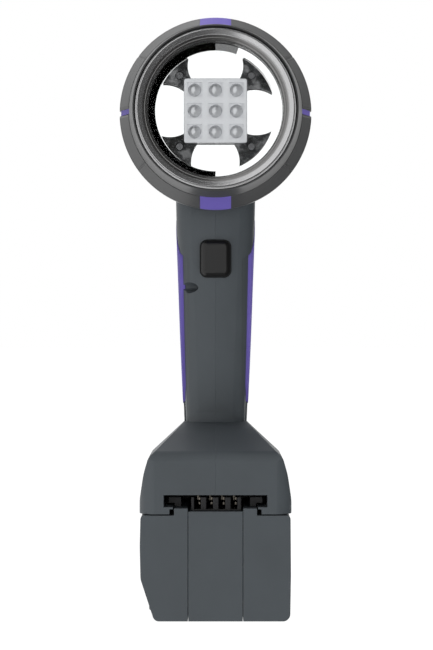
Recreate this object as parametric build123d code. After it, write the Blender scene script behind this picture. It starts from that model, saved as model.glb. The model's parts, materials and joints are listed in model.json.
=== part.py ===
"""Handheld UV curing lamp: round lamp head on an upright grip, standing on a slide-on battery pack.

Row frame: +Z up, the light shines along -Y, +X is on the right of someone facing the light.
The origin is the middle of the pack's flat base. All sizes are in millimetres.
"""

import os
from math import atan2, cos, degrees, radians, sin, tan

from build123d import *

# ---------------------------------------------------------------- driving dimensions

HEAD_Z = 261.8  # height of the light axis
WALL = 2.4  # housing wall
FIT = 0.1  # gap between parts that fit face to face
SPLIT = 0.003  # half the parting gap between the two housing halves

# Lamp head, radii about the light axis and positions along it
LIP_Y = -60.0  # front edge of the bezel
LIP_R = 42.2
SEAM_R, SEAM_Y = 44.8, -46.0  # fine groove round the bezel
RIM_R, RIM_Y = 50.2, -35.0  # widest edge of the bezel
BEZEL_BACK_Y = -30.5
BAND_Y = -36.6  # front of the accent ring's band, inside the bezel
BARREL_R = 46.0
BARREL_BACK_Y = 26.0
SPIGOT_R, SPIGOT_Y = 41.8, -45.5
APERTURE_R, APERTURE_Y = 34.5, -50.6
GLASS_R, GLASS_THICK = 37.6, 2.0
DISH_R = 31.2  # inner wall of the reflector
DISH_FRONT_Y, DISH_FLOOR_Y = -47.7, -42.0
SINK_FRONT_Y = -41.0
SINK_R = 38.0

# LED optics
LENS_WIDTH, LENS_HEIGHT = 32.7, 33.4
LENS_FRONT_Y, LENS_BACK_Y = -46.9, -45.2
LENS_PITCH = 10.8
POCKET_SIDE, POCKET_DEPTH = 7.8, 1.3
DOME_R, DOME_HEIGHT = 3.35, 2.5
ARM_TIP_R = 30.7
ARM_THICK = 1.8
CLAMP_SCREW_XZ = 18.6

# Handle: (height, half width, front y, rear y)
HANDLE_SECTIONS = [
    (97.0, 16.8, -14.0, 26.5),
    (110.0, 17.35, -14.6, 26.3),
    (137.0, 18.55, -15.6, 26.0),
    (170.0, 19.75, -17.0, 25.5),
    (205.0, 21.0, -18.6, 25.0),
    (238.0, 21.2, -19.6, 24.6),
]
HANDLE_BULGE, HANDLE_FRONT_R, HANDLE_REAR_R = 2.2, 9.5, 14.5
PANEL_STEPS = [(15.6, 1.0), (14.2, 0.45)]  # steps down from the front panel: (x, depth)
GRIP_DEPTH = 1.8  # how deep the grip pads are let in
GRIP_PROUD = 0.35

# Trigger button
TRIGGER_Z = 186.6
TRIGGER_W, TRIGGER_H, TRIGGER_R = 15.8, 19.3, 3.4
TRIGGER_GAP = 0.5
TRIGGER_PROUD, TRIGGER_SOFT = 3.0, 2.4

# Foot that holds the pack
FOOT_FRONT_Y, FOOT_REAR_Y = -57.0, 48.0
FOOT_BASE_Z, FOOT_TOP_Z = 54.6, 99.6
FOOT_HALF = 39.1
CROWN_HALF = 16.9
SHOULDER_FALL = 4.5  # how far the shoulders tip down to the rear, in degrees
SLOT_HALF, SLOT_Z0, SLOT_Z1 = 26.5, 58.2, 64.4  # the wide part of the T slot
SLOT_NIB_HALF, SLOT_MOUTH_HALF = 21.7, 23.5
NIB_Z = 57.2
CAVITY_FLOOR_Z = 66.8

# Battery pack
PACK_HALF_X, PACK_HALF_Y = 38.5, 57.0
PACK_TOP_Z = 54.0
PACK_WALL = 2.2
NECK_HALF, NECK_TOP_Z = 21.2, 57.6
MIDDLE_HALF, MIDDLE_TOP_Z = 13.9, 56.0
SEAM_GAP = 0.25
RAIL_Y0, RAIL_Y1 = -46.0, 46.0
WING_HALF, WING_Z0, RAIL_TOP_Z = 25.7, 59.2, 62.4
BAY_HALF, BAY_END_Y = 17.7, -10.0
BLADE_X = [-9.2, -2.95, 3.3, 9.55]  # the four contact blades
CELL_R, CELL_LENGTH, CELL_PITCH = 9.2, 65.0, 18.7

HEAD_AXIS = Axis((0, 0, HEAD_Z), (0, 1, 0))
BIG = 400.0


# ---------------------------------------------------------------- building blocks


def block(x0, x1, y0, y1, z0, z1):
    """A box between two corners."""
    return Pos((x0 + x1) / 2, (y0 + y1) / 2, (z0 + z1) / 2) * Box(x1 - x0, y1 - y0, z1 - z0)


def rod_x(radius, x0, x1, y, z):
    return Pos((x0 + x1) / 2, y, z) * Rot(0, 90, 0) * Cylinder(radius, x1 - x0)


def rod_y(radius, y0, y1, x=0.0, z=HEAD_Z):
    return Pos(x, (y0 + y1) / 2, z) * Rot(90, 0, 0) * Cylinder(radius, y1 - y0)


def rod_z(radius, z0, z1, x, y):
    return Pos(x, y, (z0 + z1) / 2) * Cylinder(radius, z1 - z0)


def turned(*points):
    """A solid of revolution about the light axis, from (radius, y) points."""
    outline = Pos(0, 0, HEAD_Z) * make_face(Polyline(*points, close=True))
    return revolve(outline, HEAD_AXIS, 360)


def rounded(points, radii, closed=True):
    """A line through (u, v) or (x, y, z) points, each corner rounded by its own radius."""
    count = len(points)
    corners = [Vector(*p) for p in points]
    edges, ends = [], []
    for i, (p, radius) in enumerate(zip(corners, radii)):
        inner = closed or 0 < i < count - 1
        if radius == 0 or not inner:
            ends.append((p, p))
            continue
        a, b = (corners[i - 1] - p).normalized(), (corners[(i + 1) % count] - p).normalized()
        half_angle = radians(a.get_angle(b) / 2)
        run, lift = radius / tan(half_angle), radius / sin(half_angle) - radius
        ends.append((p + a * run, p + b * run))
        edges.append(ThreePointArc(p + a * run, p + (a + b).normalized() * lift, p + b * run))
    pairs = list(zip(ends, ends[1:] + ends[:1])) if closed else list(zip(ends, ends[1:]))
    edges += [Line(e[1], f[0]) for e, f in pairs if (f[0] - e[1]).length > 1e-5]
    return Wire(edges)


def slab_y(outline, y0, y1):
    """A closed XZ outline, as a wire of (x, z) points, extruded from y0 to y1."""
    face = Plane.XZ * make_face(outline)
    return Pos(0, y1, 0) * extrude(face, y1 - y0, dir=(0, -1, 0))


def slab_x(outline, x0, x1):
    """A closed YZ outline, as a wire of (y, z) points, extruded from x0 to x1."""
    face = Plane.YZ * make_face(outline)
    return Pos(x0, 0, 0) * extrude(face, x1 - x0, dir=(1, 0, 0))


def pad_y(width, height, radius, y0, y1, x, z):
    """A rounded rectangle in XZ, extruded from y0 to y1."""
    face = Plane.XZ * RectangleRounded(width, height, radius)
    return Pos(x, y1, z) * extrude(face, y1 - y0, dir=(0, -1, 0))


def about_head(angle):
    """Turns a shape about the light axis; 0 leaves it at +X, 90 takes it to the top."""
    return Pos(0, 0, HEAD_Z) * Rot(0, -angle, 0) * Pos(0, 0, -HEAD_Z)


def screw(head_r, head_h, shaft_r, length):
    """A cross-recess screw: the head's top is at z 0 and the shaft points down."""
    body = Pos(0, 0, -head_h / 2) * Cylinder(head_r, head_h)
    body = chamfer(body.edges().group_by(Axis.Z)[-1], 0.3 * head_h)
    shaft = Pos(0, 0, -head_h - length / 2) * Cylinder(shaft_r, length)
    recess_w, recess_l, recess_d = 0.35 * head_r, 1.2 * head_r, 0.6 * head_h
    slots = Box(recess_l, recess_w, 2 * recess_d) + Box(recess_w, recess_l, 2 * recess_d)
    return body + shaft - slots


def group(shapes):
    return Compound(children=list(shapes))


def write(name, shape):
    """Writes one node's solids to parts/NAME.step."""
    export_step(shape, f"parts/{name}.step")


# ---------------------------------------------------------------- housing


def handle_front_y(z):
    """The y of the handle's front surface on the centre line at a height."""
    for (z0, _, f0, _), (z1, _, f1, _) in zip(HANDLE_SECTIONS, HANDLE_SECTIONS[1:]):
        if z0 <= z <= z1:
            return f0 + (f1 - f0) * (z - z0) / (z1 - z0)
    raise ValueError(z)


def handle_section(half, front, rear, grow):
    """One level of the handle: a gently bowed front, soft front corners and a rounder back."""
    left, right = (-half, front + HANDLE_BULGE), (half, front + HANDLE_BULGE)
    bow = ThreePointArc(left, (0, front), right)
    face = make_face(bow + Polyline(right, (half, rear), (-half, rear), left))
    face = fillet(face.vertices().group_by(Axis.Y)[0], HANDLE_FRONT_R)
    face = fillet(face.vertices().group_by(Axis.Y)[-1], HANDLE_REAR_R)
    return offset(face, grow) if grow else face


def handle_body(grow=0.0):
    """The handle as a loft of rounded sections, grown outwards by a wall or shrunk by a negative one."""
    return loft([Pos(0, 0, z) * handle_section(w, f, r, grow) for z, w, f, r in HANDLE_SECTIONS])


def foot_body(grow=0.0, base_z=FOOT_BASE_Z):
    """The flared foot: its front, side and plan outlines extruded and intersected."""
    half, brow, crown = FOOT_HALF + grow, 34.4 + grow, FOOT_TOP_Z + grow
    side = [(half, 61.0), (36.9 + grow, 75.0), (brow, 83.4 + grow / 2), (CROWN_HALF + grow / 2, crown)]
    front = [(-half, base_z), (half, base_z), *side, *[(-x, z) for x, z in reversed(side)]]
    across = slab_y(rounded(front, [0.6, 0.6, 30, 40, 6, 0, 0, 6, 40, 30]), -BIG, BIG)
    nose, heel = FOOT_FRONT_Y - grow, FOOT_REAR_Y + grow
    top = [(heel, 74.0), (26.0, crown), (-24.0, crown), (nose, 85.0 + grow)]
    profile = [(nose, base_z), (heel, base_z)] + top
    along = slab_x(rounded(profile, [0, 0, 0, 0, 60, 6.5]), -BIG, BIG)
    plan = rounded([(-half, nose), (half, nose), (half, heel), (-half, heel)], [8, 8, 9, 9])
    body = across & along & extrude(make_face(plan), BIG, dir=(0, 0, 1))
    for side in (-1, 1):
        body = body - shoulder_cut(side, grow)
    return body


def shoulder_cut(side, grow):
    """Everything above a sloping shoulder that falls gently towards the rear."""
    run, drop, fall = 34.4 - CROWN_HALF, FOOT_TOP_Z - 83.4, tan(radians(SHOULDER_FALL))
    length = (run**2 + drop**2) ** 0.5
    normal = Vector(side * drop / length, fall, run / length)
    start = Vector(side * (CROWN_HALF + grow / 2), -12.0, FOOT_TOP_Z + grow)
    above = Plane(origin=start, x_dir=Vector(side * run, 0, -drop), z_dir=normal)
    return above * Pos(0, 0, BIG / 4) * Box(BIG, BIG, BIG / 2)


def handle_skirt():
    """The small cove where the handle's front panel meets the foot."""
    half, front, rear = 17.1, -14.4, 26.35
    flare = [(98.0, 3.6), (99.4, 2.3), (100.6, 1.3), (102.4, 0.45), (104.6, 0.02)]
    cove = loft([Pos(0, 0, z) * handle_section(half, front, rear, grow) for z, grow in flare])
    x = PANEL_STEPS[-1][0]
    return cove & block(-x, x, -BIG, 0.0, 90.0, 110.0)


def barrel_body(grow=0.0):
    """The round body of the head, with the spigot that carries the bezel."""
    shoulder = -39.5 - grow
    return turned(
        (0, SPIGOT_Y - grow),
        (SPIGOT_R + grow, SPIGOT_Y - grow),
        (SPIGOT_R + grow, shoulder),
        (BARREL_R + grow, shoulder),
        (BARREL_R + grow, 4.0),
        (BARREL_R - 1.6 + grow, BARREL_BACK_Y),
        (0, BARREL_BACK_Y),
    )


def barrel_hollow():
    """The inside of the barrel, open at both ends."""
    return turned(
        (0, SPIGOT_Y - 1),
        (SPIGOT_R - WALL, SPIGOT_Y - 1),
        (SPIGOT_R - WALL, -37.1),
        (BARREL_R - WALL, -37.1),
        (BARREL_R - WALL, 4.0),
        (BARREL_R - 1.6 - WALL, BARREL_BACK_Y + 1),
        (0, BARREL_BACK_Y + 1),
    )


def rail_slot():
    """The T slot that the pack's rail slides in, open at both ends of the foot."""
    y0, y1 = FOOT_FRONT_Y - 5, FOOT_REAR_Y + 5
    wide = block(-SLOT_HALF, SLOT_HALF, y0, y1, SLOT_Z0, SLOT_Z1)
    nib = block(-SLOT_NIB_HALF, SLOT_NIB_HALF, y0, y1, NIB_Z - 1, SLOT_Z0 + 1)
    mouth = block(-SLOT_MOUTH_HALF, SLOT_MOUTH_HALF, y0, y1, FOOT_BASE_Z - 5, NIB_Z)
    return wide + nib + mouth


# Housing screws go in from the left: (y, z, counterbore radius, x of the counterbore's floor)
HOUSING_SCREWS = [
    (-13.6, 171.5, 2.1, -6.5),
    (-2.0, 105.8, 2.1, -11.0),
    (-43.0, 76.6, 2.1, -28.0),
    (32.0, 76.6, 2.1, -28.0),
]
BOSS_R, SHAFT_R = 3.6, 1.25


def screw_bosses(outer):
    """The posts that the housing screws pull together, kept inside the outer shape."""
    posts = [rod_x(BOSS_R, -BIG / 8, BIG / 8, y, z) for y, z, _, _ in HOUSING_SCREWS]
    return sum(posts[1:], posts[0]) & outer


def leaf_recess():
    """The leaf-shaped scoop in the handle's front that leads to the upper housing screw."""
    radius, wide_x, tip_x = 3.0, -14.6, -8.0
    edge = ThreePointArc((wide_x, radius), (-10.6, 2.05), (tip_x, 0))
    outline = edge + Polyline((tip_x, 0), (-BIG / 8, 0), (-BIG / 8, radius), (wide_x, radius))
    return Pos(0, -15.4, 171.2) * revolve(make_face(outline), Axis.X, 360)


def screw_holes():
    cuts = [leaf_recess()]
    for y, z, bore_r, floor_x in HOUSING_SCREWS:
        cuts.append(rod_x(bore_r, -BIG / 8, floor_x, y, z))
        cuts.append(rod_x(SHAFT_R + FIT, floor_x - 1, 12.0, y, z))
    return cuts


# Side outline of the grip pads, as (y, z) points, and the same band for the ledge beside the front panel
def grip_outline():
    rear, low, high = 17.5, 108.6, 208.6
    run = [(-8.2, 118.0), (-13.1, 190.0), (-6.6, 202.5), (3.5, high), (rear, high), (rear, low), (-2.5, low)]
    return rounded(run, [9, 12, 12, 7, 9, 9, 8])


def grip_band():
    """The layer at the handle's sides that the grip pads fill."""
    layer = handle_body(GRIP_PROUD) - handle_body(-GRIP_DEPTH)
    return layer & slab_x(grip_outline(), -BIG, BIG)


def ledge_band():
    """The two shallow steps along each side of the raised front panel."""
    cuts = []
    for x, depth in PANEL_STEPS:
        layer = handle_body(1.0) - handle_body(-depth)
        run = Polyline((-2.0, 98.0), (-30.0, 98.0), (-30.0, 172.0), (-12.0, 191.0), (-2.0, 191.0), close=True)
        for x0, x1 in ((x, BIG / 8), (-BIG / 8, -x)):
            cuts.append(layer & slab_x(run, x0, x1))
    return cuts


def vent_slots():
    """Exhaust slots through both sides of the barrel, beside the heat sink fins."""
    cuts = []
    for tilt in (-24, -16, -8, 0, 8, 16, 24):
        for side in (0, 180):
            slot = Pos(BARREL_R, -17.0, HEAD_Z) * Box(14, 21, 2.6)
            slot = fillet(slot.edges().filter_by(Axis.X), 1.2)
            cuts.append(about_head(side + tilt) * slot)
    return cuts


REAR_SCREW_R = 39.4
REAR_SCREW_ANGLES = (20, 160, 200, 340)


def rear_bosses():
    """Posts inside the barrel for the rear cover's screws."""
    x = REAR_SCREW_R
    posts = [about_head(a) * rod_y(3.0, 12.0, 21.8, x) for a in REAR_SCREW_ANGLES]
    root = block(x, x + 3.4, 12.0, 21.8, HEAD_Z - 2.5, HEAD_Z + 2.5)
    roots = [about_head(angle) * root for angle in REAR_SCREW_ANGLES]
    return posts + roots


def housing():
    """Both housing halves before they are parted."""
    outer = barrel_body() + handle_body() + foot_body() + handle_skirt()
    inner = barrel_hollow() + handle_body(-WALL) + foot_body(-WALL, CAVITY_FLOOR_Z)
    shell = outer - inner
    for post in rear_bosses():
        shell = shell + (post & barrel_body())
    shell = shell + screw_bosses(outer)
    shell = shell - barrel_hollow_keep()
    for cut in screw_holes() + vent_slots():
        shell = shell - cut
    for angle in REAR_SCREW_ANGLES:
        shell = shell - about_head(angle) * rod_y(SHAFT_R + FIT, 11.0, 22.0, REAR_SCREW_R)
    for step in ledge_band():
        shell = shell - step
    shell = shell - grip_band() - rail_slot()
    y = handle_front_y(TRIGGER_Z)
    gap = 2 * TRIGGER_GAP
    window = pad_y(TRIGGER_W + gap, TRIGGER_H + gap, TRIGGER_R + TRIGGER_GAP, y - 9, y + 9, 0, TRIGGER_Z)
    seat = block(-10.0, 10.0, y + WALL + 0.4, y + 9, TRIGGER_Z - 11.5, TRIGGER_Z + 11.5)
    shell = shell - window - seat
    shell = shell - block(-15.2, 15.2, -37.2, -17.8, SLOT_Z1 - 1, CAVITY_FLOOR_Z + 1)
    catch = block(-7.0, 7.0, 33.0, FOOT_REAR_Y + 5, SLOT_Z1 - 1, 66.2)
    return shell - catch


def barrel_hollow_keep():
    """The round space inside the head that bosses may not enter."""
    return rod_y(34.5, SPIGOT_Y - 1, BARREL_BACK_Y + 1)


def half(shape, side):
    """The part of a shape on one side of the parting plane: -1 is left and 1 is right."""
    x0, x1 = sorted((side * SPLIT, side * BIG))
    return shape & block(x0, x1, -BIG, BIG, -BIG, BIG)


def housing_screws():
    made = []
    for y, z, _, floor_x in HOUSING_SCREWS:
        head_h = 1.8
        place = Pos(floor_x - head_h, y, z) * Rot(0, -90, 0)
        made.append(place * screw(2.0, head_h, SHAFT_R, 9.5 - floor_x))
    return group(made)


# ---------------------------------------------------------------- lamp head


def bezel_windows():
    """Openings in the bezel's outer cone that the accent pads show through."""
    wide = block(-8.1, 8.1, -46.0, BEZEL_BACK_Y + 1, HEAD_Z + 43.9, HEAD_Z + 60)
    narrow = block(43.9, 60.0, -46.0, BEZEL_BACK_Y + 1, HEAD_Z - 1.35, HEAD_Z + 1.35)
    return [wide, about_head(180) * wide, narrow, about_head(180) * narrow]


def bezel_outer():
    """The outer surface of the bezel as a solid, down to the fine groove."""
    return turned(
        (0, BEZEL_BACK_Y),
        (RIM_R - 0.4, BEZEL_BACK_Y),
        (RIM_R, BEZEL_BACK_Y - 0.4),
        (RIM_R, RIM_Y),
        (SEAM_R + 0.1, SEAM_Y + 0.1),
        (0, SEAM_Y + 0.1),
    )


def bezel_ring():
    ring = turned(
        (RIM_R - 0.4, BEZEL_BACK_Y),
        (RIM_R, BEZEL_BACK_Y - 0.4),
        (RIM_R, RIM_Y),
        (RIM_R - 0.35, RIM_Y - 0.5),
        (SEAM_R + 0.25, SEAM_Y + 0.1),
        (SEAM_R - 0.55, SEAM_Y + 0.1),
        (SEAM_R - 0.55, SEAM_Y - 0.45),
        (SEAM_R - 0.05, SEAM_Y - 0.45),
        (SEAM_R - 0.15, SEAM_Y - 1.2),
        (LIP_R + 0.35, LIP_Y + 1.0),
        (LIP_R + 0.1, LIP_Y + 0.2),
        (LIP_R - 0.2, LIP_Y),
        (LIP_R - 0.45, LIP_Y + 0.3),
        (LIP_R - 0.5, LIP_Y + 1.0),
        (LIP_R - 0.5, -56.5),
        (41.2, -56.2),
        (41.2, -47.8),
        (36.3, -47.8),
        (36.3, -46.4),
        (41.9, -46.4),
        (41.9, -39.6),
        (BARREL_R + FIT, -39.6),
        (BARREL_R + FIT, BAND_Y),
        (48.4, BAND_Y),
        (48.4, BEZEL_BACK_Y),
    )
    for cut in bezel_windows():
        ring = ring - cut
    # A bevelled notch at each side pad, and a small nick on each diagonal
    tilt = degrees(atan2(RIM_R - SEAM_R, RIM_Y - SEAM_Y))
    place = Pos((RIM_R + SEAM_R) / 2, (RIM_Y + SEAM_Y) / 2, HEAD_Z) * Rot(0, 0, -tilt)
    cone_only = block(40.0, 60.0, SEAM_Y + 0.3, BEZEL_BACK_Y + 1, HEAD_Z - 8, HEAD_Z + 8)
    notch = place * bevel_prism(3.0, 8.8, 1.5, 40) & cone_only
    flat = place * bevel_prism(0.3, 3.3, 0.9, 40) & cone_only
    for angle in (0, 180):
        ring = ring - about_head(angle) * notch
    for angle in (36.5, 143.5, 216.5, 323.5):
        ring = ring - about_head(angle) * flat
    return ring


def bevel_prism(narrow, wide, depth, length):
    """A trapezium prism along Y, narrow at x -depth/2 and wide at x depth/2."""
    inner, outer = -depth / 2, depth / 2
    points = [(inner, -narrow / 2), (outer, -wide / 2), (outer, wide / 2), (inner, narrow / 2)]
    return slab_y(Polyline(*points, close=True), -length / 2, length / 2)


def accent_ring():
    """The coloured ring behind the bezel, with its two wide pads and two narrow ones."""
    front, back = BAND_Y + 0.1, BEZEL_BACK_Y + 0.2
    band = turned((46.25, front), (48.3, front), (48.3, back), (46.25, back))
    reach = rod_y(SEAM_R - 0.6, -60, 0)
    fill = bezel_outer() - reach
    pads = [w & fill for w in bezel_windows()[:2]]
    low_fill = bezel_outer_shrunk(0.8) - reach
    pads += [w & low_fill for w in bezel_windows()[2:]]
    ring = band
    for pad in pads:
        ring = ring + (pad - rod_y(BARREL_R + FIT, -39.6, 0))
    return ring


def bezel_outer_shrunk(depth):
    return turned(
        (0, BEZEL_BACK_Y),
        (RIM_R - depth, BEZEL_BACK_Y),
        (RIM_R - depth, RIM_Y),
        (SEAM_R - 0.5 * depth, SEAM_Y + 0.1 + 0.2 * depth),
        (0, SEAM_Y + 0.1 + 0.2 * depth),
    )


def trim_ring():
    """The stepped ring that clamps the front glass."""
    return turned(
        (41.1, -50.2),
        (41.1, -55.6),
        (40.3, -55.6),
        (40.3, -59.3),
        (40.15, -59.6),
        (39.85, -59.7),
        (39.5, -59.5),
        (37.9, -58.3),
        (37.8, -57.6),
        (37.4, -57.5),
        (36.5, -57.0),
        (36.4, -56.4),
        (36.05, -56.4),
        (35.95, -56.6),
        (35.2, -56.1),
        (34.8, -55.4),
        (34.55, -54.4),
        (APERTURE_R, -53.4),
        (APERTURE_R, APERTURE_Y),
        (GLASS_R + FIT, APERTURE_Y),
        (GLASS_R + FIT, -50.2),
    )


def front_glass():
    glass = rod_y(GLASS_R, APERTURE_Y + FIT, APERTURE_Y + FIT + GLASS_THICK)
    return chamfer(glass.edges(), 0.25)


def glass_seal():
    return turned((36.4, -48.45), (37.9, -48.45), (37.9, -47.85), (36.4, -47.85))


def reflector():
    """A shallow polished dish with a bright sloping rim and a square hole for the LED board."""
    rim_r = 36.1
    wall = 1.0
    dish = turned(
        (0, DISH_FLOOR_Y),
        (DISH_R, DISH_FLOOR_Y),
        (DISH_R, DISH_FRONT_Y + 1.7),
        (APERTURE_R, DISH_FRONT_Y),
        (rim_r, DISH_FRONT_Y),
        (rim_r, DISH_FRONT_Y + wall),
        (DISH_R + wall, DISH_FRONT_Y + 1.7 + wall),
        (DISH_R + wall, SINK_FRONT_Y - FIT),
        (0, SINK_FRONT_Y - FIT),
    )
    dish = dish - block(-16.0, 16.0, -60, 0, HEAD_Z - 16.0, HEAD_Z + 16.0)
    for x, z in clamp_places():
        dish = dish + rod_y(2.6, LENS_BACK_Y + ARM_THICK, SINK_FRONT_Y - FIT, x, z)
        dish = dish - rod_y(SHAFT_R + FIT, -60, 0, x, z)
    return dish


def clamp_places():
    c = CLAMP_SCREW_XZ
    return [(sx * c, HEAD_Z + sz * (c - 0.2)) for sx in (-1, 1) for sz in (-1, 1)]


# Each flared arm of the lens clamp, as angles about the light axis: tip, neck, neck, tip
ARMS = [
    (17.2, 34.0, 53.0, 62.8),
    (117.5, 127.2, 146.5, 152.5),
    (204.8, 215.3, 239.9, 245.7),
    (293.7, 300.2, 324.7, 340.0),
]
ARM_WAIST_R, ARM_NECK_R, ARM_ROOT_R = 25.4, 20.5, 17.6


def polar(radius, angle):
    return (radius * cos(radians(angle)), radius * sin(radians(angle)))


def arm_side(tip, neck, inward):
    """One hollow side of an arm, from its tip to its neck."""
    waist = polar(ARM_WAIST_R, (tip + neck) / 2 + inward)
    return ThreePointArc(polar(ARM_TIP_R, tip), waist, polar(ARM_NECK_R, neck))


def clamp_arm(tip0, neck0, neck1, tip1):
    """One arm: an arc at the tip, and two hollow sides that run in to the lens plate's corner."""
    end = ThreePointArc(polar(ARM_TIP_R, tip0), polar(ARM_TIP_R, (tip0 + tip1) / 2), polar(ARM_TIP_R, tip1))
    root0, root1 = polar(ARM_ROOT_R, neck0), polar(ARM_ROOT_R, neck1)
    root = Polyline(polar(ARM_NECK_R, neck0), root0, root1, polar(ARM_NECK_R, neck1))
    outline = arm_side(tip0, neck0, 1.6) + end + arm_side(tip1, neck1, -1.6) + root
    return Pos(0, 0, HEAD_Z) * slab_y(outline, LENS_BACK_Y, LENS_BACK_Y + ARM_THICK)


def lens_clamp():
    """The square frame under the lens plate, with its four flared arms and countersunk screw seats."""
    frame = pad_y(LENS_WIDTH - 0.8, LENS_HEIGHT - 0.8, 1.0, LENS_BACK_Y, LENS_BACK_Y + ARM_THICK, 0, HEAD_Z)
    for angles in ARMS:
        frame = frame + clamp_arm(*angles)
    frame = frame - block(-14.9, 14.9, -60, 0, HEAD_Z - 14.9, HEAD_Z + 14.9)
    for x, z in clamp_places():
        frame = frame - rod_y(2.2, LENS_BACK_Y - 1, LENS_BACK_Y + 1.0, x, z)
        frame = frame - rod_y(SHAFT_R + FIT, -60, 0, x, z)
    return frame


def clamp_screws():
    made = []
    for x, z in clamp_places():
        made.append(Pos(x, LENS_BACK_Y + 0.1, z) * Rot(90, 0, 0) * screw(2.0, 0.9, SHAFT_R, 9.0))
    return group(made)


def lens_cells():
    steps = (-LENS_PITCH, 0.0, LENS_PITCH)
    return [(x, HEAD_Z + z) for x in steps for z in steps]


def lens_array():
    """The moulded lens plate: nine square pockets, each with a dome in it."""
    plate = pad_y(LENS_WIDTH, LENS_HEIGHT, 1.3, LENS_FRONT_Y, LENS_BACK_Y, 0, HEAD_Z)
    front = plate.edges().group_by(Axis.Y)[0]
    plate = fillet(front, 0.35)
    floor_y = LENS_FRONT_Y + POCKET_DEPTH
    sphere_r = (DOME_R**2 + DOME_HEIGHT**2) / (2 * DOME_HEIGHT)
    for x, z in lens_cells():
        plate = plate - pad_y(POCKET_SIDE, POCKET_SIDE, 0.7, LENS_FRONT_Y - 1, floor_y, x, z)
    for x, z in lens_cells():
        ball = Pos(x, floor_y - DOME_HEIGHT + sphere_r, z) * Sphere(sphere_r)
        plate = plate + (ball & block(x - 5, x + 5, floor_y - 4, floor_y + 0.3, z - 5, z + 5))
    return plate


LED_BOARD_SIDE, LED_BOARD_THICK = 31.0, 1.4
LEAD_X, LEAD_R = 2.3, 0.8
LED_LEAD_Z = HEAD_Z - 5.4


def led_board():
    y1 = SINK_FRONT_Y - FIT
    board = pad_y(LED_BOARD_SIDE, LED_BOARD_SIDE, 1.5, y1 - LED_BOARD_THICK, y1, 0, HEAD_Z)
    for side in (-1, 1):
        board = board - rod_y(LEAD_R + 0.15, -60, 0, side * LEAD_X, LED_LEAD_Z)
    return board


def led_emitters():
    """Nine LED packages, each a square base with a round window."""
    y1 = SINK_FRONT_Y - FIT - LED_BOARD_THICK
    made = []
    for x, z in lens_cells():
        base = pad_y(3.5, 3.5, 0.3, y1 - 0.7, y1, x, z)
        made.append(base + rod_y(1.3, y1 - 1.0, y1 - 0.6, x, z))
    return group(made)


SINK_BACK_Y = -4.0
FIN_PITCH, FIN_THICK = 4.6, 1.3


def heat_sink():
    """A finned aluminium slug, fins upright so that air leaves through the side slots."""
    base = rod_y(SINK_R, SINK_FRONT_Y, -35.5)
    fins = block(-FIN_THICK / 2, FIN_THICK / 2, -36.0, SINK_BACK_Y, HEAD_Z - SINK_R, HEAD_Z + SINK_R)
    whole = base
    for i in range(-7, 8):
        whole = whole + (Pos(i * FIN_PITCH, 0, 0) * fins & rod_y(SINK_R, -36.0, SINK_BACK_Y))
    for side in (-1, 1):
        whole = whole - rod_y(LEAD_R + 0.15, -42, -35, side * LEAD_X, LED_LEAD_Z)
    for x, z in clamp_places():
        whole = whole - rod_y(SHAFT_R + FIT, -42, -34.5, x, z)
    return whole


FAN_Y0, FAN_Y1 = -1.0, 12.0
FAN_SIDE, FAN_BORE_R, FAN_BLADE_R, FAN_HUB_R = 57.0, 27.0, 26.2, 12.5


def fan_frame():
    """The fan's square frame, with three struts that carry the motor's seat."""
    frame = pad_y(FAN_SIDE, FAN_SIDE, 6.0, FAN_Y0, FAN_Y1, 0, HEAD_Z)
    frame = frame - rod_y(FAN_BORE_R, FAN_Y0 - 1, FAN_Y1 + 1)
    frame = frame - pad_y(70, 70, 2, FAN_Y0 + 2.5, FAN_Y1 - 2.5, 0, HEAD_Z) + rod_y(28.4, FAN_Y0, FAN_Y1)
    frame = frame - rod_y(FAN_BORE_R, FAN_Y0 - 1, FAN_Y1 + 1)
    seat = rod_y(FAN_HUB_R, FAN_Y1 - 1.8, FAN_Y1)
    for angle in (90, 210, 330):
        arm = block(FAN_HUB_R - 1, FAN_BORE_R + 0.6, FAN_Y1 - 1.8, FAN_Y1, HEAD_Z - 1.3, HEAD_Z + 1.3)
        seat = seat + about_head(angle) * arm
    bush = rod_y(3.0, FAN_Y1 - 5.0, FAN_Y1 - 1.0)
    frame = frame + seat + bush - rod_y(1.55, FAN_Y1 - 6.0, FAN_Y1 - 0.6)
    for x, z in fan_screw_places():
        frame = frame - rod_y(1.7, FAN_Y0 - 1, FAN_Y1 + 1, x, z)
    return frame


def fan_screw_places():
    c = FAN_SIDE / 2 - 4.2
    return [(sx * c, HEAD_Z + sz * c) for sx in (-1, 1) for sz in (-1, 1)]


def fan_screws():
    made = []
    for x, z in fan_screw_places():
        made.append(Pos(x, FAN_Y1 + 1.4, z) * Rot(-90, 0, 0) * screw(2.7, 1.3, 1.5, 15.4))
    return group(made)


def fan_rotor():
    """The hub cup, its seven twisted blades and its shaft."""
    hub = rod_y(FAN_HUB_R - 0.3, FAN_Y0 + 0.8, FAN_Y1 - 2.3)
    hub = fillet(hub.edges().group_by(Axis.Y)[0], 1.5)
    hub = hub - rod_y(FAN_HUB_R - 1.8, FAN_Y0 + 2.6, FAN_Y1) + rod_y(1.5, FAN_Y0 + 2.0, FAN_Y1 - 1.2)
    space = rod_y(FAN_BLADE_R, FAN_Y0 + 0.8, FAN_Y1 - 2.6) - rod_y(FAN_HUB_R - 1.0, FAN_Y0, FAN_Y1)
    radius_mid = (FAN_HUB_R + FAN_BLADE_R) / 2
    mid_y = (FAN_Y0 + FAN_Y1 - 1.8) / 2
    for i in range(7):
        blade = Pos(radius_mid, mid_y, HEAD_Z) * Rot(38, 0, 0) * Box(18, 12, 1.1)
        hub = hub + (about_head(i * 360 / 7) * blade & space)
    return hub


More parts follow.
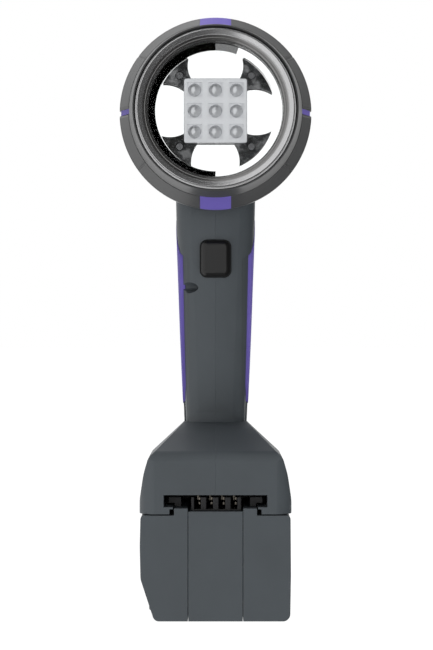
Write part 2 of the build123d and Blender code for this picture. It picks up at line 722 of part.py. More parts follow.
def rear_cover():
    """The rounded back of the head, with a slotted air intake."""
    r = BARREL_R - 1.6
    outline = Polyline((0, 34.5), (36.0, 34.5)) + ThreePointArc((36.0, 34.5), (41.8, 32.6), (r, 27.6))
    outline = outline + Polyline((r, 27.6), (r, 26.1), (r - WALL - FIT, 26.1), (r - WALL - FIT, 22.0))
    lip, neck = r - WALL - FIT, r - WALL - 2
    outline = outline + Polyline((lip, 22.0), (neck, 22.0), (neck, 27.0), (36.0, 32.4))
    outline = outline + Polyline((36.0, 32.4), (0, 32.4), (0, 34.5))
    cover = revolve(Pos(0, 0, HEAD_Z) * make_face(outline), HEAD_AXIS, 360)
    for angle in REAR_SCREW_ANGLES:
        post = about_head(angle) * rod_y(3.4, 22.0, 33.0, REAR_SCREW_R)
        cover = cover + (post & rod_y(r - WALL - FIT, 20.0, 31.0))
        cover = cover - about_head(angle) * rod_y(2.5, 25.4, 40.0, REAR_SCREW_R)
        cover = cover - about_head(angle) * rod_y(SHAFT_R + FIT, 20.0, 40.0, REAR_SCREW_R)
    return cover - intake_slots()


def intake_slots():
    """Level slots across the middle of the rear cover, either side of a centre rib."""
    slots = None
    for i in range(-6, 7):
        z = HEAD_Z + i * 4.6
        for side in (-1, 1):
            x0, x1 = sorted((side * 1.6, side * 40.0))
            bar = block(x0, x1, 31.0, 36.0, z - 1.2, z + 1.2)
            slots = bar if slots is None else slots + bar
    return slots & rod_y(30.0, 30.0, 37.0)


def rear_cover_screws():
    made = []
    for angle in REAR_SCREW_ANGLES:
        place = Pos(REAR_SCREW_R, 25.4 + 1.6, HEAD_Z) * Rot(-90, 0, 0)
        made.append(about_head(angle) * place * screw(2.2, 1.6, SHAFT_R, 10.0))
    return group(made)


# ---------------------------------------------------------------- handle parts


def grip_pad(side):
    return half(grip_band(), side)


def trigger():
    """The push button: a proud face with soft edges, a flange behind the wall and a stem."""
    y = handle_front_y(TRIGGER_Z)
    body = pad_y(TRIGGER_W, TRIGGER_H, TRIGGER_R, y - TRIGGER_PROUD, y + WALL + 1.6, 0, TRIGGER_Z)
    body = fillet(body.edges().group_by(Axis.Y)[0], TRIGGER_SOFT)
    flange = pad_y(TRIGGER_W + 2.6, TRIGGER_H + 1.6, 2.0, y + WALL + 0.45, y + WALL + 2.0, 0, TRIGGER_Z)
    stem = rod_y(1.8, y + WALL + 1.0, SWITCH_FRONT_Y - PLUNGER_OUT, 0, TRIGGER_Z)
    return body + flange + stem


SWITCH_FRONT_Y = -4.0
PLUNGER_OUT = 3.0
SPRING_WIRE, SPRING_R = 0.7, 3.4


def switch_plunger():
    return rod_y(1.5, SWITCH_FRONT_Y - PLUNGER_OUT, SWITCH_FRONT_Y + 2.5, 0, TRIGGER_Z)


def switch_body():
    """The microswitch behind the trigger, on its bracket, with three tabs."""
    z = TRIGGER_Z
    body = block(-6.0, 6.0, SWITCH_FRONT_Y, SWITCH_FRONT_Y + 10.0, z - 8.0, z + 8.0)
    body = chamfer(body.edges().filter_by(Axis.Y), 0.6)
    body = body - rod_y(1.55, SWITCH_FRONT_Y - 1, SWITCH_FRONT_Y + 5.5, 0, z)
    for dz in (-5.0, 0.0, 5.0):
        leg_y = SWITCH_FRONT_Y + 10.0
        body = body + block(-2.4, 2.4, leg_y, leg_y + 3.5, z + dz - 0.3, z + dz + 0.3)
    return body


def coil_spring(length, turns, centre_r, wire_r):
    """A compression spring along +Z from z 0 to length, on its wire's centre line."""
    path = Helix(pitch=length / turns, height=length, radius=centre_r)
    return sweep(Plane(origin=path @ 0, z_dir=path % 0) * Circle(wire_r), path=path, is_frenet=True)


def trigger_spring():
    y0 = handle_front_y(TRIGGER_Z) + WALL + 2.0 + SPRING_WIRE / 2 + 0.05
    y1 = SWITCH_FRONT_Y - SPRING_WIRE / 2 - 0.05
    spring = coil_spring(y1 - y0, 4.0, SPRING_R, SPRING_WIRE / 2)
    return Pos(0, y0, TRIGGER_Z) * Rot(-90, 0, 0) * spring


BOARD_Y, BOARD_THICK = 13.0, 1.6
BOARD_Z0, BOARD_Z1 = 118.0, 214.0


def driver_board():
    board = block(-12.5, 12.5, BOARD_Y, BOARD_Y + BOARD_THICK, BOARD_Z0, BOARD_Z1)
    board = fillet(board.edges().filter_by(Axis.Y), 1.5)
    for z in (BOARD_Z0 + 5, BOARD_Z1 - 5):
        board = board - rod_y(1.3, BOARD_Y - 1, BOARD_Y + 4, -9.0, z)
    return board


def driver_components():
    """What stands on the driver board: two coils, three capacitors and the chips."""
    made = []
    for z in (134.0, 152.0):
        made.append(fillet(block(-6, 6, BOARD_Y - 6.0, BOARD_Y, z - 6, z + 6).edges().filter_by(Axis.Y), 2.0))
    for x in (-7.0, 0.0, 7.0):
        made.append(rod_y(2.9, BOARD_Y - 9.0, BOARD_Y, x, 168.5))
    for x, z, w, h in ((-6, 201.0, 7, 5), (5, 204.0, 5, 5), (0, 122.5, 9, 4)):
        made.append(block(x - w / 2, x + w / 2, BOARD_Y - 1.4, BOARD_Y, z - h / 2, z + h / 2))
    return group(made)


def wire(points, radii, wire_r):
    path = rounded(points, [0, *radii, 0], closed=False)
    return sweep(Plane(origin=path @ 0, z_dir=path % 0) * Circle(wire_r), path=path)


def battery_leads():
    """Two leads from the contact block in the foot to the foot of the driver board."""
    made = []
    for x in BLADE_X[1:3]:
        points = [(x, -26.0, 70.42), (x, -26.0, 82.0), (x, 8.0, 94.0), (x, BOARD_Y - 1.2, 119.4)]
        made.append(wire(points, [5, 12], 1.1))
    return group(made)


def led_leads():
    """Two leads from the driver board, up between the fins and through the heat sink to the LED board."""
    made = []
    for side in (-1, 1):
        x = side * LEAD_X
        points = [(x, BOARD_Y - 0.9, 210.0), (x, -8.0, 222.0), (x, -26.0, 238.0)]
        points += [(x, -26.0, LED_LEAD_Z), (x, -42.9, LED_LEAD_Z)]
        made.append(wire(points, [5, 5, 4], LEAD_R))
    return group(made)


def fan_lead():
    points = [(9.0, BOARD_Y - 0.7, 211.0), (9.0, 9.0, 221.0), (9.0, 5.5, 229.0), (9.0, 5.5, HEAD_Z - 28.6)]
    return wire(points, [6, 6], 0.6)


# ---------------------------------------------------------------- contacts in the foot


def terminal_block():
    """The insulator in the slot's ceiling that holds the contact blades."""
    base = block(-15.0, 15.0, -37.0, -18.0, SLOT_Z1 + 0.2, 69.6)
    flange = block(-18.0, 18.0, -40.0, -15.0, CAVITY_FLOOR_Z + 0.05, 69.6)
    body = base + flange
    for x in BLADE_X:
        body = body - block(x - 0.42, x + 0.42, -34.0, -20.0, SLOT_Z1 - 1, 71.0)
    return body


def terminal_blades():
    """Four upright blades that hang into the slot and pass between the pack's ribs."""
    made = []
    for x in BLADE_X:
        blade = block(x - 0.4, x + 0.4, -33.6, -20.4, 58.7, 70.4)
        made.append(fillet(blade.edges().filter_by(Axis.X).group_by(Axis.Z)[0], 1.0))
    return group(made)


# ---------------------------------------------------------------- battery pack


def pack_outline(inset=0.0):
    """The pack's front outline: a long cut-back at the lower left and a plain rounded lower right."""
    left, right, top = -PACK_HALF_X + inset, PACK_HALF_X - inset, PACK_TOP_Z - inset
    neck = NECK_HALF - inset
    points = [
        (-31.2 + 0.6 * inset, inset),
        (right - 0.4, inset),
        (right, 24.0),
        (right - 0.2, top),
        (neck, top),
        (neck, NECK_TOP_Z - inset),
        (-neck, NECK_TOP_Z - inset),
        (-neck, top),
        (left + 0.2, top),
        (left - 0.2 * (inset == 0), 38.0),
        (left + 0.2, 21.5),
    ]
    corner = max(0.4, 3.2 - inset)
    edge = 2.0 if inset == 0 else 0.5
    radii = [corner, corner + 0.6, 30, edge, 0.3, 0.3, 0.3, 0.3, edge, 30, 8]
    return rounded(points, radii)


def pack_block():
    """The solid outer shape of the pack, with the front deck's middle cut lower."""
    x, y = PACK_HALF_X + 0.6, PACK_HALF_Y
    plan = make_face(rounded([(-x, -y), (x, -y), (x, y), (-x, y)], [1.2, 1.2, 4.0, 4.0]))
    body = slab_y(pack_outline(), -PACK_HALF_Y, PACK_HALF_Y) & extrude(plan, BIG, dir=(0, 0, 1))
    return body - block(-MIDDLE_HALF, MIDDLE_HALF, -BIG, BAY_END_Y, MIDDLE_TOP_Z, BIG)


def pack_hollow():
    y = PACK_HALF_Y - PACK_WALL
    return slab_y(pack_outline(PACK_WALL), -y, y)


def pack_shell():
    shell = pack_block() - pack_hollow()
    for y, z in PACK_SCREWS:
        shell = shell + (rod_x(3.3, -BIG / 8, BIG / 8, y, z) & pack_block())
    # Openings for the release latch and the charge button in the rear wall and the deck
    shell = shell + block(-5.0, 5.0, 49.9, PACK_HALF_Y - 1, 31.5, 34.0)
    shell = shell - block(-10.6, 10.6, PACK_HALF_Y - 3, PACK_HALF_Y + 5, 34.0, PACK_TOP_Z + 2)
    shell = shell - block(-8.2, 8.2, 38.0, PACK_HALF_Y + 5, 44.4, NECK_TOP_Z + 1)
    shell = shell - rod_y(3.2, PACK_HALF_Y - 5, PACK_HALF_Y + 5, -6.0, 16.0)
    for x in CHARGE_LIGHT_X:
        shell = shell - rod_y(1.1, PACK_HALF_Y - 5, PACK_HALF_Y + 5, x, 16.0)
    for y, z in PACK_SCREWS:
        for x0, x1 in ((PACK_HALF_X - 3.0, BIG / 8), (-BIG / 8, -PACK_HALF_X + 6.0)):
            shell = shell - rod_x(2.2, x0, x1, y, z)
        shell = shell - rod_x(SHAFT_R + FIT, -BIG / 8, -MIDDLE_HALF + 5, y, z)
        shell = shell - rod_x(SHAFT_R + FIT, MIDDLE_HALF - 5, BIG / 8, y, z)
    return shell


CHARGE_LIGHT_X = [0.0, 3.6, 7.2, 10.8]
PACK_SCREWS = [(-51.9, 7.0), (51.9, 7.0), (-51.9, 47.8), (51.9, 47.8)]


def pack_slice(x0, x1):
    return pack_shell() & block(x0, x1, -BIG, BIG, -BIG, BIG)


def pack_rail():
    """The rail on the pack's top, with its two wings and the bay for the contacts."""
    neck = block(-NECK_HALF, NECK_HALF, RAIL_Y0, RAIL_Y1, NECK_TOP_Z, RAIL_TOP_Z)
    wings = block(-WING_HALF, WING_HALF, RAIL_Y0, RAIL_Y1, WING_Z0, RAIL_TOP_Z)
    wings = chamfer(wings.edges().filter_by(Axis.Z), 1.5)
    rail = neck + wings
    rail = rail - block(-BAY_HALF, BAY_HALF, RAIL_Y0 - 1, BAY_END_Y, NECK_TOP_Z - 1, BIG)
    rail = rail - block(-17.0, 17.0, -6.0, 26.0, NECK_TOP_Z - 1, RAIL_TOP_Z - 2.0)
    return rail - block(-8.2, 8.2, 30.0, RAIL_Y1 + 1, NECK_TOP_Z - 1, BIG)


def pack_terminal_block():
    """Five upright ribs with four slots between them, which the lamp's blades enter."""
    x0, x1 = BLADE_X[0] - 3.3, BLADE_X[-1] + 3.7
    y0, y1, z0, z1 = -52.5, -11.0, MIDDLE_TOP_Z + 0.05, 62.9
    body = block(x0, x1, y0, y1, z0, z1)
    for x in BLADE_X:
        body = body - block(x - 1.65, x + 1.65, y0 - 1, y1 - 2.0, z0 + 0.7, z1 + 1)
    return fillet(body.edges().filter_by(Axis.Z).group_by(Axis.Y)[0], 0.3)


def pack_contacts():
    """A sprung contact in each slot: two fingers, one above the other, beside the blade's path."""
    made = []
    for x in BLADE_X:
        contact = block(x + 0.75, x + 1.2, -24.0, -13.3, 57.5, 62.5)
        for z in (59.0, 61.4):
            finger = block(x + 0.75, x + 1.2, -44.0, -23.0, z - 0.6, z + 0.6)
            contact = contact + finger + block(x + 0.55, x + 1.3, -44.5, -43.0, z - 0.6, z + 0.6)
        made.append(contact)
    return group(made)


CELL_X0 = -30.4
CELL_ROWS_Z = [15.8, 15.8 + CELL_PITCH]
CELL_Y = [(i - 2) * CELL_PITCH for i in range(5)]


def cell_places():
    return [(y, z) for z in CELL_ROWS_Z for y in CELL_Y]


def cells():
    made = []
    for y, z in cell_places():
        can = rod_x(CELL_R, CELL_X0, CELL_X0 + CELL_LENGTH, y, z)
        made.append(fillet(can.edges(), 0.6))
    return group(made)


def cell_holder(x0, x1):
    """A plastic comb that the cells' ends sit in."""
    low, high = CELL_ROWS_Z[0] - 9.7, CELL_ROWS_Z[-1] + 9.7
    plate = block(x0, x1, -49.5, 49.5, low, high)
    plate = chamfer(plate.edges().filter_by(Axis.X), 4.6)
    for y, z in cell_places():
        plate = plate - rod_x(CELL_R + 0.05, x0 - 1, x1 + 1, y, z)
    return plate


def cell_straps():
    """Nickel straps that join the cells' ends in pairs of rows."""
    made = []
    z0, z1 = CELL_ROWS_Z[0] - 4.0, CELL_ROWS_Z[-1] + 4.0
    near, far = CELL_X0 - 0.25, CELL_X0 + CELL_LENGTH + 0.05
    for x, pairs in ((near, ((0, 1), (2, 3), (4, 4))), (far, ((0, 0), (1, 2), (3, 4)))):
        for a, b in pairs:
            made.append(block(x, x + 0.2, CELL_Y[a] - 4.0, CELL_Y[b] + 4.0, z0, z1))
    return group(made)


def bms_board():
    """The pack's protection board, above the cells, with its chips."""
    z = CELL_ROWS_Z[-1] + 9.8
    board = block(-15.0, 15.0, -34.0, 40.0, z, z + 1.4)
    for x, y, w, h in ((-6, -18, 8, 8), (7, -4, 6, 6), (-5, 14, 10, 6)):
        board = board + block(x - w / 2, x + w / 2, y - h / 2, y + h / 2, z + 1.4, z + 2.8)
    return board


def pack_screws():
    """Four long screws through each side cover into the middle shell."""
    made = []
    for y, z in PACK_SCREWS:
        for side, seat in ((1, PACK_HALF_X - 3.0), (-1, PACK_HALF_X - 6.0)):
            place = Pos(side * (seat + 1.5), y, z) * Rot(0, side * 90, 0)
            made.append(place * screw(2.0, 1.5, SHAFT_R, seat - MIDDLE_HALF + 4.5))
    return group(made)


def release_latch():
    """The thumb pad at the back of the pack, its arm and the hook at the top of the rail."""
    pad = pad_y(20.0, 17.0, 3.0, PACK_HALF_Y - 2.0, PACK_HALF_Y + 2.4, 0, 46.6)
    pad = fillet(pad.edges().group_by(Axis.Y)[-1], 1.4)
    for i in range(3):
        pad = pad - block(-7.0, 7.0, PACK_HALF_Y + 1.9, PACK_HALF_Y + 4, 42.4 + 3.6 * i, 43.4 + 3.6 * i)
    arm = block(-7.6, 7.6, 49.9, PACK_HALF_Y - 1.6, 44.6, 56.0)
    post = block(-7.6, 7.6, 38.5, 52.0, 52.0, 60.0)
    hook = block(-5.6, 5.6, 38.5, 44.0, 59.0, 66.0)
    hook = chamfer(hook.edges().filter_by(Axis.X).group_by(Axis.Z)[-1], 1.2)
    return pad + arm + post + hook


def latch_spring():
    low, high, wire_r = 34.0, 44.6, 0.3
    spring = coil_spring(high - low - 2 * wire_r - 0.1, 6.0, 1.7, wire_r)
    return Pos(0, 52.2, low + wire_r + 0.05) * spring


def charge_button():
    cap = rod_y(3.0, PACK_HALF_Y - 3.0, PACK_HALF_Y + 1.0, -6.0, 16.0)
    cap = fillet(cap.edges().group_by(Axis.Y)[-1], 0.5)
    return cap + rod_y(4.0, PACK_HALF_Y - 4.2, PACK_HALF_Y - 3.0, -6.0, 16.0)


def charge_lights():
    made = []
    for x in CHARGE_LIGHT_X:
        made.append(rod_y(1.0, GAUGE_BOARD_Y + 0.05, PACK_HALF_Y + 0.15, x, 16.0))
    return group(made)


GAUGE_BOARD_Y = 50.8


def gauge_board():
    """The small board behind the charge button, with the switch that the button presses."""
    board = block(-11.5, 13.5, GAUGE_BOARD_Y - 1.0, GAUGE_BOARD_Y, 11.5, 20.5)
    return board + block(-9.0, -3.0, GAUGE_BOARD_Y, GAUGE_BOARD_Y + 1.1, 13.0, 19.0)


# ---------------------------------------------------------------- write every node


def main():
    os.makedirs("parts", exist_ok=True)
    body = housing()
    write("housing_left", half(body, -1))
    write("housing_right", half(body, 1))
    write("housing_screws", housing_screws())
    write("grip_left", grip_pad(-1))
    write("grip_right", grip_pad(1))
    write("bezel_ring", bezel_ring())
    write("accent_ring", accent_ring())
    write("trim_ring", trim_ring())
    write("front_glass", front_glass())
    write("glass_seal", glass_seal())
    write("reflector", reflector())
    write("lens_clamp", lens_clamp())
    write("clamp_screws", clamp_screws())
    write("lens_array", lens_array())
    write("led_board", led_board())
    write("led_emitters", led_emitters())
    write("heat_sink", heat_sink())
    write("fan_frame", fan_frame())
    write("fan_rotor", fan_rotor())
    write("fan_screws", fan_screws())
    write("rear_cover", rear_cover())
    write("rear_cover_screws", rear_cover_screws())
    write("trigger", trigger())
    write("trigger_spring", trigger_spring())
    write("switch_plunger", switch_plunger())
    write("switch_body", switch_body())
    write("driver_board", driver_board())
    write("driver_components", driver_components())
    write("battery_leads", battery_leads())
    write("led_leads", led_leads())
    write("fan_lead", fan_lead())
    write("terminal_block", terminal_block())
    write("terminal_blades", terminal_blades())
    write("pack_left_cover", pack_slice(-BIG, -MIDDLE_HALF - SEAM_GAP))
    write("pack_middle_shell", pack_slice(-MIDDLE_HALF, MIDDLE_HALF))
    write("pack_right_cover", pack_slice(MIDDLE_HALF + SEAM_GAP, BIG))
    write("pack_rail", pack_rail())
    write("pack_terminal_block", pack_terminal_block())
    write("pack_contacts", pack_contacts())
    write("cells", cells())
    write("cell_holder_left", cell_holder(CELL_X0 + 0.5, CELL_X0 + 8.0))
    write("cell_holder_right", cell_holder(CELL_X0 + CELL_LENGTH - 8.0, CELL_X0 + CELL_LENGTH - 0.5))
    write("cell_straps", cell_straps())
    write("bms_board", bms_board())
    write("pack_screws", pack_screws())
    write("release_latch", release_latch())
    write("latch_spring", latch_spring())
    write("charge_button", charge_button())
    write("charge_lights", charge_lights())
    write("gauge_board", gauge_board())


main()
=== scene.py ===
"""Looks for the handheld UV curing lamp: materials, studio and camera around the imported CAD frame."""

import json
from math import cos, radians, sin

import bpy
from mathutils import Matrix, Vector


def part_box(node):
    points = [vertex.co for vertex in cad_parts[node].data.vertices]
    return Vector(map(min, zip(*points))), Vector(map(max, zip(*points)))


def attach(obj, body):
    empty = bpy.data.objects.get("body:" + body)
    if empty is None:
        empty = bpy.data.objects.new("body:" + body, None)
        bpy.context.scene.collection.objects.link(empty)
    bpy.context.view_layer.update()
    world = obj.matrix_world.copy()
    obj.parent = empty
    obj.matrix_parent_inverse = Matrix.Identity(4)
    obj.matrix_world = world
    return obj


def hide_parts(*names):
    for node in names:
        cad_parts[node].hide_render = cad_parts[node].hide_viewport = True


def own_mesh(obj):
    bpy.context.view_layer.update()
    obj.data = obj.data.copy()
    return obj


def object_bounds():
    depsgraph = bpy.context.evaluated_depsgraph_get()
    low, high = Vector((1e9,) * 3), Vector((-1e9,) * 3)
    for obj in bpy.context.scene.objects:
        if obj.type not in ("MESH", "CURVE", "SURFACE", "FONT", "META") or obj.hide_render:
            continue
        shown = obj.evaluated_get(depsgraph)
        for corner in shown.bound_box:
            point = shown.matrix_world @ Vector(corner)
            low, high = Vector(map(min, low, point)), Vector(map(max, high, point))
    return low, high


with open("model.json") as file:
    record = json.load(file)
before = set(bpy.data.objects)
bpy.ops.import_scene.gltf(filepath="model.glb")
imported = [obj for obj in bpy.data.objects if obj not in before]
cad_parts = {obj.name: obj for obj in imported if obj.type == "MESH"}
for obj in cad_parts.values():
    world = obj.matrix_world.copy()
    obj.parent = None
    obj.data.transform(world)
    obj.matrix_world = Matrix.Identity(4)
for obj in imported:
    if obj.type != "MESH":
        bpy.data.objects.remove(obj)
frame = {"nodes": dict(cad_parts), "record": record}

CAD_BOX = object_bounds()
NODES = frame["nodes"]
BEHAVIOUR = frame["record"]["behaviour"]

# ---------------------------------------------------------------- camera and studio

FRONT_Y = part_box("pack_middle_shell")[0].y  # nearest flat face of the lamp
CAMERA_DISTANCE = 0.85  # from that face
CAMERA_X, CAMERA_HEIGHT = 0.0005, 0.1512
VIEW_HEIGHT = 0.3315  # what the frame's height covers at that face
SENSOR = 36.0
CLIP_END = 50.0

BACKDROP_RADIUS, REFLECT_RADIUS = 12.0, 11.0
FLOOR_HALF, FLOOR_DROP = 10.0, 0.0002  # half its side, and how far it lies below the lamp
FLOOR_BASE, FLOOR_GLOW = 0.15, 0.99

LAMP_MIDDLE = Vector((0, 0, 0.16))
SOFTBOX_SIZE, SOFTBOX_DISTANCE = 0.9, 1.5
SURROUND = 0.14  # even light on matt surfaces
# name, azimuth, elevation and power in watts
SOFTBOXES = [
    ("front", 0, 5, 3.4),
    ("right", 50, 10, 4.0),
    ("overhead", 0, 85, 16.5),
    ("bounce_left", -50, -35, 9.0),
    ("bounce_right", 50, -35, 8.0),
]

# What gloss mirrors, by the direction from the middle of the room: x, y and z of a unit vector
REFLECT_WHITE, REFLECT_POLES = 1.25, 0.3
POLE_START, POLE_END = 0.93, 0.985  # the white fades to the poles between these heights
FLAG_FRONT, FLAG_BACK = -0.975, 0.75  # the black flag fills the right-hand side between these y
STRIP_LEFT, STRIP_TOP = -0.29, -0.4  # the grey strip is right of this x, left of the flag, and below this z
STRIP_DIM = 0.83


def make_camera():
    data = bpy.data.cameras.new("camera")
    data.sensor_width = SENSOR
    data.lens = SENSOR * CAMERA_DISTANCE / VIEW_HEIGHT
    data.clip_end = CLIP_END
    camera = bpy.data.objects.new("camera", data)
    camera.location = (CAMERA_X, FRONT_Y - CAMERA_DISTANCE, CAMERA_HEIGHT)
    camera.rotation_euler = (radians(90), 0, 0)
    bpy.context.scene.collection.objects.link(camera)
    bpy.context.scene.camera = camera


def emission_material(name):
    """A white glow, with its emission node for anything that varies it."""
    mat = bpy.data.materials.new(name)
    mat.use_nodes = True
    tree = mat.node_tree
    tree.nodes.clear()
    out = tree.nodes.new("ShaderNodeOutputMaterial")
    glow = tree.nodes.new("ShaderNodeEmission")
    glow.inputs["Color"].default_value = (1, 1, 1, 1)
    glow.inputs["Strength"].default_value = 1.0
    tree.links.new(glow.outputs[0], out.inputs["Surface"])
    mat.cycles.emission_sampling = "NONE"
    return mat, glow


def limit_rays(obj, rays):
    """Leaves obj visible to the named kinds of ray alone."""
    obj.visible_camera = "camera" in rays
    obj.visible_glossy = "glossy" in rays
    obj.visible_transmission = "transmission" in rays
    obj.visible_diffuse = False
    obj.visible_shadow = False
    obj.visible_volume_scatter = False


def dome(name, radius, material, rays):
    """A round surround, seen only by the kinds of ray named."""
    bpy.ops.mesh.primitive_ico_sphere_add(subdivisions=4, radius=radius, location=(0, 0, 0))
    obj = bpy.context.object
    obj.name = name
    obj.data.materials.append(material)
    limit_rays(obj, rays)


def make_backdrop():
    """A wide white surround behind everything, for the camera alone."""
    dome("backdrop", BACKDROP_RADIUS, emission_material("backdrop_white")[0], ("camera",))


class Sums:
    """Short calls for arithmetic nodes."""

    def __init__(self, tree):
        self.tree = tree

    def math(self, kind, *values):
        node = self.tree.nodes.new("ShaderNodeMath")
        node.operation = kind
        for socket, value in zip(node.inputs, values):
            if isinstance(value, (int, float)):
                socket.default_value = value
            else:
                self.tree.links.new(value, socket)
        return node.outputs[0]

    def product(self, first, *others):
        for value in others:
            first = self.math("MULTIPLY", first, value)
        return first

    def one_minus(self, value):
        return self.math("SUBTRACT", 1.0, value)

    def ramp_between(self, value, start, end, low, high):
        node = self.tree.nodes.new("ShaderNodeMapRange")
        node.interpolation_type = "SMOOTHSTEP"
        for key, number in (("From Min", start), ("From Max", end), ("To Min", low), ("To Max", high)):
            node.inputs[key].default_value = number
        self.tree.links.new(value, node.inputs["Value"])
        return node.outputs[0]


def make_reflections():
    """What glossy surfaces mirror: white all round and dimmer overhead and underfoot.

    A black flag stands on the right, with a low grey strip beside it."""
    mat, glow = emission_material("reflections")
    tree = mat.node_tree
    sums = Sums(tree)
    coord = tree.nodes.new("ShaderNodeTexCoord")
    unit = tree.nodes.new("ShaderNodeVectorMath")
    unit.operation = "NORMALIZE"
    split = tree.nodes.new("ShaderNodeSeparateXYZ")
    tree.links.new(coord.outputs["Object"], unit.inputs[0])
    tree.links.new(unit.outputs[0], split.inputs[0])
    x, y, z = split.outputs
    steep = sums.math("ABSOLUTE", z)
    surround = sums.ramp_between(steep, POLE_START, POLE_END, REFLECT_WHITE, REFLECT_POLES)
    right = sums.math("GREATER_THAN", x, 0.0)
    not_behind = sums.math("LESS_THAN", y, FLAG_BACK)
    flag = sums.product(right, sums.math("GREATER_THAN", y, FLAG_FRONT), not_behind)
    beside = sums.product(sums.math("GREATER_THAN", x, STRIP_LEFT), sums.one_minus(right))
    strip = sums.product(beside, sums.math("LESS_THAN", z, STRIP_TOP), not_behind)
    level = sums.product(surround, sums.one_minus(sums.product(strip, STRIP_DIM)), sums.one_minus(flag))
    tree.links.new(level, glow.inputs["Strength"])
    dome("reflections", REFLECT_RADIUS, mat, ("glossy", "transmission"))


def make_floor():
    """The pale floor, which is white to the camera and unseen by everything else."""
    mat = bpy.data.materials.new("floor_pale")
    mat.use_nodes = True
    shader = mat.node_tree.nodes["Principled BSDF"]
    shader.inputs["Base Color"].default_value = (FLOOR_BASE, FLOOR_BASE, FLOOR_BASE, 1)
    shader.inputs["Roughness"].default_value = 0.9
    shader.inputs["Specular IOR Level"].default_value = 0.0
    shader.inputs["Emission Color"].default_value = (1, 1, 1, 1)
    shader.inputs["Emission Strength"].default_value = FLOOR_GLOW
    mat.cycles.emission_sampling = "NONE"
    s = FLOOR_HALF
    z = CAD_BOX[0][2] - FLOOR_DROP
    mesh = bpy.data.meshes.new("floor")
    mesh.from_pydata([(-s, -s, z), (s, -s, z), (s, s, z), (-s, s, z)], [], [(0, 1, 2, 3)])
    mesh.materials.append(mat)
    floor = bpy.data.objects.new("floor", mesh)
    bpy.context.scene.collection.objects.link(floor)
    limit_rays(floor, ("camera",))


def make_world():
    """An even surround that lights matt surfaces only; gloss sees the reflections dome."""
    world = bpy.data.worlds.new("studio")
    bpy.context.scene.world = world
    world.use_nodes = True
    back = world.node_tree.nodes["Background"]
    back.inputs["Color"].default_value = (1, 1, 1, 1)
    back.inputs["Strength"].default_value = SURROUND
    world.cycles_visibility.glossy = False
    world.cycles_visibility.transmission = False
    world.cycles_visibility.camera = False


def softbox(name, azimuth, elevation, power):
    """A large soft light at an angle round the lamp; 0 is in front of it and negative is to its left."""
    data = bpy.data.lights.new(name, "AREA")
    data.shape = "DISK"
    data.size = SOFTBOX_SIZE
    data.energy = power
    light = bpy.data.objects.new(name, data)
    a, e = radians(azimuth), radians(elevation)
    out = Vector((sin(a) * cos(e), -cos(a) * cos(e), sin(e)))
    light.location = LAMP_MIDDLE + out * SOFTBOX_DISTANCE
    light.rotation_euler = (-out).to_track_quat("-Z", "Y").to_euler()
    light.visible_glossy = False
    light.visible_transmission = False
    light.visible_camera = False
    bpy.context.scene.collection.objects.link(light)


def make_lights():
    make_world()
    for box in SOFTBOXES:
        softbox(*box)


# ---------------------------------------------------------------- materials

SOCKETS = {
    "colour": "Base Color",
    "rough": "Roughness",
    "metal": "Metallic",
    "ior": "IOR",
    "specular": "Specular IOR Level",
    "transmission": "Transmission Weight",
    "coat": "Coat Weight",
    "coat_rough": "Coat Roughness",
}
NOISE_LOW, NOISE_HIGH = 0.3, 0.7  # noise stays between these nearly everywhere
BEVEL_SAMPLES = 6

# By slot in the record. The frame brings materials of the same names, so Blender may lengthen
# a new one's own name, and only the slot is looked up.
MATERIALS = {}


class Build:
    """A material's node tree with short calls for what every material here needs."""

    def __init__(self, name, **values):
        mat = bpy.data.materials.new(name)
        MATERIALS[name] = mat
        mat.use_nodes = True
        self.tree = mat.node_tree
        self.shader = self.tree.nodes["Principled BSDF"]
        self.coord = self.tree.nodes.new("ShaderNodeTexCoord")
        for key, value in values.items():
            self.shader.inputs[SOCKETS[key]].default_value = value

    def noise(self, scale, detail=2.0, rough=0.5, stretch=(1, 1, 1)):
        node = self.tree.nodes.new("ShaderNodeTexNoise")
        node.inputs["Scale"].default_value = scale
        node.inputs["Detail"].default_value = detail
        node.inputs["Roughness"].default_value = rough
        mapping = self.tree.nodes.new("ShaderNodeMapping")
        mapping.inputs["Scale"].default_value = stretch
        self.tree.links.new(self.coord.outputs["Object"], mapping.inputs["Vector"])
        self.tree.links.new(mapping.outputs[0], node.inputs["Vector"])
        return node.outputs["Fac"]

    def colour(self, fac, stops):
        """Base colour from a ramp of (place, colour) stops."""
        node = self.tree.nodes.new("ShaderNodeValToRGB")
        while len(node.color_ramp.elements) < len(stops):
            node.color_ramp.elements.new(0.5)
        for element, (place, colour) in zip(node.color_ramp.elements, stops):
            element.position = place
            element.color = (*colour, 1)
        self.tree.links.new(fac, node.inputs["Fac"])
        self.tree.links.new(node.outputs["Color"], self.shader.inputs[SOCKETS["colour"]])

    def rough(self, fac, low, high):
        """Roughness that drifts from low to high with a noise."""
        node = self.tree.nodes.new("ShaderNodeMapRange")
        node.inputs["From Min"].default_value = NOISE_LOW
        node.inputs["From Max"].default_value = NOISE_HIGH
        node.inputs["To Min"].default_value = low
        node.inputs["To Max"].default_value = high
        self.tree.links.new(fac, node.inputs["Value"])
        self.tree.links.new(node.outputs[0], self.shader.inputs[SOCKETS["rough"]])

    def bump(self, height, strength, distance, bevel=0.0):
        """Fine relief, over edges that are softened by the bevel radius."""
        node = self.tree.nodes.new("ShaderNodeBump")
        node.inputs["Strength"].default_value = strength
        node.inputs["Distance"].default_value = distance
        self.tree.links.new(height, node.inputs["Height"])
        if bevel:
            soft = self.tree.nodes.new("ShaderNodeBevel")
            soft.samples = BEVEL_SAMPLES
            soft.inputs["Radius"].default_value = bevel
            self.tree.links.new(soft.outputs[0], node.inputs["Normal"])
        self.tree.links.new(node.outputs[0], self.shader.inputs["Normal"])


def scaled(colour, factor):
    return tuple(c * factor for c in colour)


